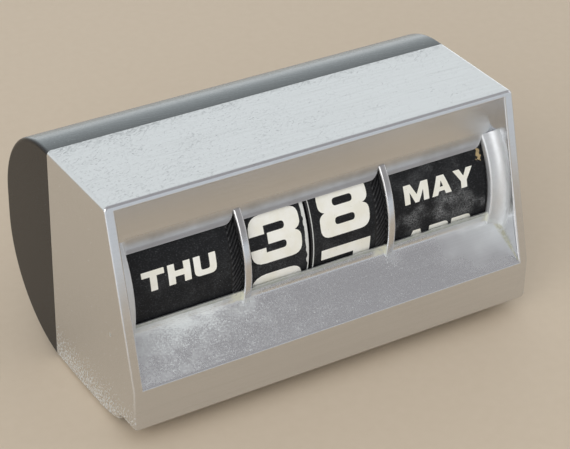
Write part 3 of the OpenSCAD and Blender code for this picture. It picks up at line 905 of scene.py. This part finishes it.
def panel_dust_and_glow(tree, place, x, y, z):
    """Share of white dust on the lower panel, thicker at the left, under the lip and at the ribs' feet, with
    a painted highlight as a pale glow at its right end near the lip.
    """
    near_lip = ramp(tree, y, LIP_LOW_Y - 3.5, LIP_LOW_Y - 1.0)
    rise = weighted(tree, 0.4, (near_lip, 2.2))
    panel = product(tree, zone(tree, over_panel(tree, y, z), -0.3, rise, 0.2),
                    zone(tree, x, -RECESS_W, RECESS_W, 0.2),
                    zone(tree, y, FRONT_Y + 0.4, LIP_LOW_Y + 0.5, 0.3))
    left = ramp(tree, x, 20, -45)
    far = ramp(tree, y, LIP_LOW_Y - 8, LIP_LOW_Y - 1)
    bay = product(tree, far, zone(tree, x, -50, -28, 7))
    rib_feet = (-RECESS_W, -DIVIDER_X, DIVIDER_X)
    feet = total(tree, *[zone(tree, x, foot - 3, foot + 4, 3.5) for foot in rib_feet])
    feet = product(tree, feet, ramp(tree, y, LIP_LOW_Y - 9, LIP_LOW_Y - 1))
    drift = ramp(tree, noise(tree, place, 0.2, 4.0), 0.25, 0.8)
    cover = weighted(tree, 0.05, (left, 0.24), (bay, 0.35), (feet, 0.2), (drift, 0.22))
    pale_layer = product(tree, panel, ramp(tree, cover, 0.1, 1.0), between(tree, drift, 0.15, 0.42))
    fine = product(tree, panel, specks(tree, place, 0.32, product(tree, cover, 0.75)), 0.65)
    coarse = product(tree, panel, specks(tree, place, 0.7, product(tree, cover, 0.42)), 0.55)
    caked = product(tree, panel, bay, near_lip, ramp(tree, noise(tree, place, 0.3, 4.0), 0.35, 0.6), 0.3)
    # Painted highlight: a pale milky glow at the right end of the panel, near the lip
    right_end = product(tree, ramp(tree, x, 30, 54), ramp(tree, y, LIP_LOW_Y - 14, LIP_LOW_Y - 1))
    right_glow = product(tree, panel, right_end, between(tree, drift, 0.3, 0.6))
    powder = product(tree, panel, ramp(tree, grain(tree, place, 0.45), 0.4, 0.8),
                     between(tree, left, 0.14, 0.35))
    dust = total(tree, pale_layer, caked, right_glow, powder, largest(tree, fine, coarse))
    return maths(tree, "MINIMUM", dust, 1.0)


def side_dust(tree, place, x, z):
    """Share of white pitting on the lower edges of the side plates."""
    side = zone(tree, maths(tree, "ABSOLUTE", x), HALF_W - 0.5, HALF_W + 1, 0.1)
    cover = weighted(tree, 0.05, (ramp(tree, z, 17, FLOOR_Z), 0.45))
    return product(tree, side, specks(tree, place, 0.55, cover), 0.75)


def top_flecks(tree, place, x, y, z):
    """Share of dark flecks and scratches on the top."""
    top = zone(tree, z, TOP_Z - 0.25, TOP_Z + 1, 0.1)
    patchy = ramp(tree, noise(tree, place, 0.08, 2.0), 0.35, 0.65)
    worn = weighted(tree, 0.02, (ramp(tree, x, 40, -50), 0.12), (patchy, 0.1),
                    (ramp(tree, y, SEAM_Y - 5, SEAM_Y), 0.2))
    short = scratches(tree, place, turn=6, length=0.8, width=0.24, cover=worn)
    slant = scratches(tree, place, turn=-30, length=1.6, width=0.16, cover=minus(tree, worn, 0.02))
    long = scratches(tree, place, turn=3, length=16, width=0.3, cover=0.16)
    marks = largest(tree, product(tree, largest(tree, short, slant), 0.5), product(tree, long, 0.12))
    return product(tree, top, marks)


def lip_dirt(tree, place, ring, z):
    """Share of dark dirt along the windows' lower edge."""
    wall = zone(tree, ring, SHROUD_R - 0.2, LIP_R + 0.12, 0.08)
    patches = ramp(tree, noise(tree, place, 0.5, 3.0), 0.25, 0.65)
    return product(tree, wall, zone(tree, z, SILL_Z - 0.9, SILL_Z, 0.25), between(tree, patches, 0.4, 0.9))


def lint_heaps(tree, place, x, z, ring):
    """Share of pale lint under the finger rims."""
    mounds = total(tree, *[zone(tree, x, middle - 2.4, middle + 1.8, 1.2) for middle in RIM_MIDDLES])
    heap = product(tree, zone(tree, ring, SHROUD_R - 0.2, LIP_R + 0.9, 0.3),
                   zone(tree, z, WALL_FOOT_Z - 1.2, SILL_Z, 0.4))
    return product(tree, heap, mounds, ramp(tree, grain(tree, place, 0.9), 0.3, 0.5))


def brow_shade_band(tree, place, x, z, ring):
    """Share of the painted shade over the windows: a darker brownish band in place of the bright reflection
    there, with a duller finish.
    """
    return product(tree, zone(tree, ring, LIP_R - 0.2, LIP_R + 1.3, 0.7),
                   ramp(tree, z, AXLE_Z + 9, AXLE_Z + 13), zone(tree, x, 4 - RECESS_W, RECESS_W - 4, 1.0),
                   between(tree, noise(tree, place, 0.16, 3.0), 0.2, 1.1))


def valley_line(tree, place, x, y, z):
    """Share of the line of dirt where the lower panel meets the right side, wider at the arch's foot."""
    width = between(tree, ramp(tree, y, FRONT_Y, LIP_LOW_Y), 0.25, 1.5)
    aside = largest(tree, minus(tree, RECESS_W, x), 0.0)
    reach = total(tree, aside, largest(tree, over_panel(tree, y, z), 0.0))
    line = minus(tree, 1.0, ramp(tree, maths(tree, "DIVIDE", reach, width), 0.5, 1.3))
    inside = product(tree, ramp(tree, x, RECESS_W - 8, RECESS_W - 4),
                     ramp(tree, x, RECESS_W + 0.5, RECESS_W + 0.3))
    line = product(tree, line, inside, zone(tree, y, FRONT_Y + 0.5, LIP_LOW_Y, 0.6))
    return product(tree, line, ramp(tree, grain(tree, place, 1.0), 0.25, 0.6), 0.75)


def arch_haze(tree, place, x, y, z, ring):
    """Share of the haze on the end arches, up to their top ends."""
    past_end = total(tree, product(tree, minus(tree, y, AXLE_Y), sin(RIB_HIGH)),
                     product(tree, minus(tree, z, AXLE_Z), cos(RIB_HIGH)))
    aside = zone(tree, maths(tree, "ABSOLUTE", x), RECESS_W - ARCH_W - 0.5, RECESS_W + 0.3, 0.2)
    arches = product(tree, aside, ramp(tree, past_end, 0.1, -0.1),
                     zone(tree, ring, SHROUD_R, LIP_R + 4.5, 0.6),
                     ramp(tree, over_panel(tree, y, z), 0.1, 2.0))
    return product(tree, arches, between(tree, grain(tree, place, 1.5), 0.4, 0.75))


def satin_silver():
    made, tree, shader, place = new_material("satin_silver")
    x, y, z = axes(tree, place)
    ring = ring_radius(tree, y, z)
    fine = grain(tree, place, 0.22)
    drawn = scratches(tree, place, turn=0, length=40, width=0.5, cover=0.5)
    flecks = top_flecks(tree, place, x, y, z)
    # The panel's share holds white dust and the painted highlight at its right end
    dust = largest(tree, panel_dust_and_glow(tree, place, x, y, z), side_dust(tree, place, x, z))
    dirt = lip_dirt(tree, place, ring, z)
    lint = lint_heaps(tree, place, x, z, ring)
    brow_shade = brow_shade_band(tree, place, x, z, ring)
    valley = valley_line(tree, place, x, y, z)
    hazed = arch_haze(tree, place, x, y, z, ring)
    milk = product(tree, hazed, 0.5)
    colour = tint(tree, product(tree, drawn, fine, 0.6), SILVER_TONE, SILVER_SHADE)
    colour = layered(tree, colour, (
        (flecks, FLECK_TONE), (dust, DUST_AND_GLOW_TONE), (dirt, DIRT_TONE), (lint, LINT_TONE),
        # The band over the windows is painted shade, not a real tone of the metal
        (product(tree, brow_shade, 0.8), BROW_SHADE_TONE), (valley, VALLEY_TONE), (milk, DUST_AND_GLOW_TONE)))
    matte = largest(tree, dust, dirt, lint, valley, milk)
    roughness = weighted(tree, between(tree, fine, 0.18, 0.28), (flecks, 0.2), (matte, 0.5), (brow_shade, 0.2),
                         (hazed, 0.3))
    height = weighted(tree, product(tree, fine, 0.1), (matte, 0.4), (flecks, -0.2))
    connect(tree, shader, height, 0.02, colour=colour, roughness=roughness,
            metallic=minus(tree, 1.0, product(tree, matte, 0.95)))
    return made


def gloss_black():
    made, tree, shader, place = new_material("gloss_black")
    shader.inputs["IOR"].default_value = 1.5
    shader.inputs["Specular IOR Level"].default_value = 0.25
    x, y, z = axes(tree, place)
    fine = grain(tree, place, 0.5)
    scuffs = scratches(tree, place, turn=12, length=7, width=0.25, cover=0.22)
    dust = product(tree, specks(tree, place, 0.4, 0.12), ramp(tree, noise(tree, place, 0.06), 0.4, 0.7))
    # Painted reflection: a pale bluish-grey layer over the top of the back, stronger towards the back edge,
    # standing in for the bright sky mirrored in the glossy black
    pale_layer = product(tree, ramp(tree, z, COVER_TOP_Z - 9, COVER_TOP_Z - 0.5),
                   ramp(tree, y, SEAM_Y - 8, SEAM_Y + 14), zone(tree, x, 0.6 - HALF_W, HALF_W - 0.6, 0.4),
                   between(tree, fine, 0.65, 0.95))
    colour = layered(tree, tint(tree, fine, *BACK_TONES), (
        (product(tree, scuffs, 0.15), BACK_SCUFF_TONE), (product(tree, dust, 0.6), BACK_SPECK_TONE),
        (pale_layer, BACK_SHEEN_TONE)))
    roughness = weighted(tree, between(tree, fine, 0.18, 0.28), (scuffs, 0.15), (dust, 0.4))
    connect(tree, shader, fine, 0.006, colour=colour, roughness=roughness, metallic=0)
    return made


def drum_black():
    made, tree, shader, place = new_material("drum_black")
    shader.inputs["Specular IOR Level"].default_value = 0.3
    _, y, z = axes(tree, place)
    ring = ring_radius(tree, y, z)
    fine = grain(tree, place, 0.35)
    worn = product(tree, ramp(tree, ring, RIM_TIP_R - 0.2, RIM_TIP_R - 0.02), ramp(tree, fine, 0.35, 0.65))
    colour = layered(tree, tint(tree, fine, *DRUM_TONES), (
        (worn, DRUM_WORN_TONE), (specks(tree, place, 0.3, 0.1), DRUM_SPECK_TONE)))
    connect(tree, shader, fine, 0.03, colour=colour, roughness=between(tree, fine, 0.38, 0.55), metallic=0)
    return made


def torn_corner(tree, place, x, size):
    """Share of an upper right label corner that is torn down to the brown card."""
    spot_y, spot_z = on_ring(LABEL_R, WINDOW_TOP - radians(3.5))
    from_spot = put(tree, "VectorMath", {0: place, 1: (x, spot_y, spot_z)}, operation="SUBTRACT")
    narrow = put(tree, "VectorMath", {0: from_spot.outputs[0], 1: (1.9, 1, 1)}, operation="MULTIPLY")
    away = put(tree, "VectorMath", {0: narrow.outputs[0]}, operation="LENGTH").outputs["Value"]
    fray = between(tree, noise(tree, place, 1.1, 4.0), -2.6, 2.6)
    return ramp(tree, total(tree, away, fray), size + 0.15, size - 0.15)


def label_paper(name, scuffed, left_highlight=0, right_cut=0, corner=0):
    """Black printed paper, with its white core along a ragged right cut edge and a painted highlight as a
    thin pale line along the left edge, of given widths.
    """
    made, tree, shader, place = new_material(name + "_paper")
    shader.inputs["Specular IOR Level"].default_value = 0.2
    x, _, z = axes(tree, place)
    low, high = box_mm(name + "_label")
    fine = grain(tree, place, 0.3)
    fibres = scratches(tree, place, turn=25, length=0.9, width=0.22, cover=0.28)
    dust = specks(tree, place, 0.34, 0.08)
    rubbed = total(tree, 0.3, zone(tree, z, AXLE_Z - 2, AXLE_Z + 6, 2.5))
    clouds = product(tree, ramp(tree, noise(tree, place, 0.16, 3.0), 0.42, 0.68), ramp(tree, fine, 0.3, 0.7),
                     rubbed, scuffed)
    colour = layered(tree, tint(tree, fine, *PAPER_TONES), (
        (product(tree, fibres, 0.4), PAPER_FIBRE_TONE), (product(tree, dust, 0.7), PAPER_SPECK_TONE),
        (clouds, PAPER_RUB_TONE)))
    core_and_highlight = None
    if right_cut:
        ragged = ramp(tree, noise(tree, place, 0.16, 3.0), 0.4, 0.66)
        start = minus(tree, high.x - 0.22, product(tree, ragged, right_cut))
        core_and_highlight = ramp(tree, x, start, total(tree, start, 0.1))
    # Painted highlight: a thin pale line along the label's left edge
    if left_highlight:
        core_and_highlight = ramp(tree, x, low.x + left_highlight + 0.05, low.x + left_highlight - 0.05)
    if core_and_highlight:
        colour = tint(tree, product(tree, core_and_highlight, between(tree, fine, 0.65, 1.0)), colour, PAPER_CORE_AND_HIGHLIGHT_TONE)
    if corner:
        torn = product(tree, torn_corner(tree, place, high.x - 1.1, corner), between(tree, fine, 0.5, 1.1))
        colour = tint(tree, torn, colour, PAPER_TORN_TONE)
    connect(tree, shader, fine, 0.03, colour=colour, roughness=between(tree, fine, 0.5, 0.72), metallic=0)
    return made


def cream_ink():
    made, tree, shader, place = new_material("cream_ink")
    fine = grain(tree, place, 0.5)
    colour = tint(tree, ramp(tree, noise(tree, place, 0.25, 3.0), 0.35, 0.7), *INK_TONES)
    colour = tint(tree, specks(tree, place, 0.3, 0.05), colour, INK_SPECK_TONE)
    connect(tree, shader, fine, 0.015, colour=colour, roughness=between(tree, fine, 0.5, 0.7), metallic=0)
    return made


def turned_metal(name, bright, dull, turn):
    """Metal with fine marks along one direction."""
    made, tree, shader, place = new_material(name)
    fine = grain(tree, place, 0.25)
    marks = scratches(tree, place, turn, length=8, width=0.15, cover=0.5)
    colour = tint(tree, product(tree, marks, fine), bright, dull)
    roughness = weighted(tree, between(tree, fine, 0.22, 0.36), (marks, 0.1))
    connect(tree, shader, marks, 0.005, colour=colour, roughness=roughness, metallic=1)
    return made


def moulded(name, tone, shade, grain_size, rough):
    """Plain moulded plastic or rubber with a fine skin."""
    made, tree, shader, place = new_material(name)
    fine = grain(tree, place, grain_size)
    dust = specks(tree, place, 0.4, 0.08)
    colour = tint(tree, product(tree, dust, 0.3), tint(tree, fine, shade, tone), SKIN_SPECK_TONE)
    roughness = between(tree, fine, rough - 0.1, rough + 0.1)
    connect(tree, shader, fine, 0.03, colour=colour, roughness=roughness, metallic=0)
    return made


def dress(material, *nodes):
    """Gives a material to CAD nodes that stay in sight."""
    for node in nodes:
        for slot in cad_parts[node].material_slots:
            slot.material = material


DRUM = drum_black()
INK = cream_ink()
PRINTS = {
    "weekday": print_ring(WEEKDAYS, "THU", x=-39.9, angle=14.6, **WORD_STYLE),
    "tens": print_ring(FIGURES, "3", x=-12.1, angle=18.2, **FIGURE_STYLE),
    "ones": print_ring(FIGURES, "8", x=8.7, angle=21.7, **FIGURE_STYLE),
    "month": print_ring(MONTHS, "MAY", x=38.4, angle=18.0, **WORD_STYLE),
}
piece("case_shell", case_shell(), "case", satin_silver(), ["front_case"])
piece("back_shell", back_shell(), "case", gloss_black(), ["rear_cover"])
for name in PRINTS:
    turned = drum(name, name in RIMMED)
    piece(name + "_drum_turned", turned, name + "_wheel", DRUM, [name + "_drum"])
for name, ink in PRINTS.items():
    piece(name + "_print", ink, name + "_wheel", INK)
dress(label_paper("weekday", scuffed=0.12), "weekday_label")
dress(label_paper("tens", scuffed=0.15, right_cut=0.9), "tens_label")
# The thin pale line on the ones label's left edge is a painted highlight
dress(label_paper("ones", scuffed=0.15, left_highlight=0.2), "ones_label")
dress(label_paper("month", scuffed=0.75, corner=1.3), "month_label")
dress(turned_metal("bright_steel", (0.62, 0.62, 0.63), (0.5, 0.5, 0.51), turn=0), "axle")
dress(turned_metal("spring_steel", (0.35, 0.35, 0.37), (0.22, 0.22, 0.24), turn=40),
      "left_axle_clip", "right_axle_clip", "friction_spring")
dress(turned_metal("zinc_steel", (0.6, 0.6, 0.58), (0.46, 0.46, 0.44), turn=20), "case_screws")
dress(moulded("nylon", (0.8, 0.78, 0.7), (0.7, 0.68, 0.6), grain_size=0.4, rough=0.5),
      "left_end_washer", "weekday_tens_washer", "tens_ones_washer", "ones_month_washer", "right_end_washer")
dress(moulded("foot_rubber", (0.045, 0.045, 0.045), (0.02, 0.02, 0.02), grain_size=0.3, rough=0.75), *FEET)


# Camera
CAMERA_AT = (-232.6, -378.4, 305.3)
LOOK = (0.45001, 0.71833, -0.53055)
CAMERA_ROLL = radians(1.213)
LENS = 124.2


def make_camera():
    data = bpy.data.cameras.new("camera")
    data.lens = LENS
    data.sensor_width = 36
    camera = in_scene("camera", data)
    camera.location = Vector(CAMERA_AT) * MM
    turn = Vector(LOOK).to_track_quat("-Z", "Y").to_matrix() @ Matrix.Rotation(CAMERA_ROLL, 3, "Z")
    camera.rotation_euler = turn.to_euler()
    bpy.context.scene.camera = camera


# Floor and light
FLOOR_TONE = (0.68, 0.57, 0.44)
FLOOR_SHADE = (0.64, 0.53, 0.40)
FLOOR_FRONT_TONE = (0.84, 0.87, 0.90)
SKY_TONE = (0.86, 0.87, 0.88)
SKY_STRENGTH = 0.7
BACKDROP_TONE = (0.89, 0.93, 0.93)
ROOM_TONE = (0.40, 0.39, 0.40)
FRONT_GLOW = (0.84, 0.90, 0.97)
FLOOR_SIZE = 3.0
# Depths in front of the object between which the floor gets paler
FLOOR_FRONT = (-110, -220)


def make_floor():
    bm = bmesh.new()
    bmesh.ops.create_grid(bm, x_segments=1, y_segments=1, size=FLOOR_SIZE)
    mesh = mesh_of("floor", bm)
    made, tree, shader, place = new_material("pale_floor")
    fine = grain(tree, place, 3.0)
    y = axes(tree, place)[1]
    colour = tint(tree, fine, FLOOR_SHADE, FLOOR_TONE)
    colour = tint(tree, ramp(tree, y, *FLOOR_FRONT), colour, FLOOR_FRONT_TONE)
    connect(tree, shader, colour=colour, roughness=0.6, metallic=0)
    mesh.materials.append(made)
    in_scene("floor", mesh)


def area_light(name, place, target, size, watts):
    data = bpy.data.lights.new(name, "AREA")
    data.shape = "RECTANGLE"
    data.size, data.size_y = size
    data.energy = watts
    light = in_scene(name, data)
    light.location = place
    aim = Vector(target) - Vector(place)
    light.rotation_euler = aim.to_track_quat("-Z", "Y").to_euler()


def make_world():
    """Soft sky light, with a pale backdrop behind the object and a dimmer room for the reflections."""
    world = bpy.data.worlds.new("studio")
    world.use_nodes = True
    tree = world.node_tree
    sky = tree.nodes["Background"]
    sky.inputs["Color"].default_value = (*SKY_TONE, 1)
    sky.inputs["Strength"].default_value = SKY_STRENGTH
    _, aim_y, aim_z = axes(tree, put(tree, "TexCoord").outputs["Generated"])
    seen_tone = tint(tree, ramp(tree, aim_y, -0.15, 0.6), ROOM_TONE, BACKDROP_TONE)
    glow = product(tree, zone(tree, aim_z, -0.3, 0.08, 0.08), ramp(tree, aim_y, -0.2, -0.6))
    seen_tone = tint(tree, glow, seen_tone, FRONT_GLOW)
    backdrop = put(tree, "Background", {"Color": seen_tone, "Strength": 1.0})
    path = put(tree, "LightPath").outputs
    seen = largest(tree, path["Is Camera Ray"], path["Is Glossy Ray"], path["Is Transmission Ray"])
    both = put(tree, "MixShader", {0: seen, 1: sky.outputs[0], 2: backdrop.outputs[0]})
    tree.links.new(both.outputs[0], tree.nodes["World Output"].inputs["Surface"])
    bpy.context.scene.world = world


make_camera()
make_floor()
make_world()
area_light("key_light", place=(-1.2, -0.85, 0.75), target=(0, 0, 0.03), size=(1.3, 1.2), watts=13)
area_light("side_light", place=(1.4, -0.5, 0.55), target=(0, 0, 0.03), size=(1.2, 0.9), watts=2.5)
area_light("rim_light", place=(0.7, 1.3, 0.2), target=(0, 0, 0.05), size=(1.8, 0.3), watts=1.6)

bpy.context.scene.view_settings.view_transform = "Standard"
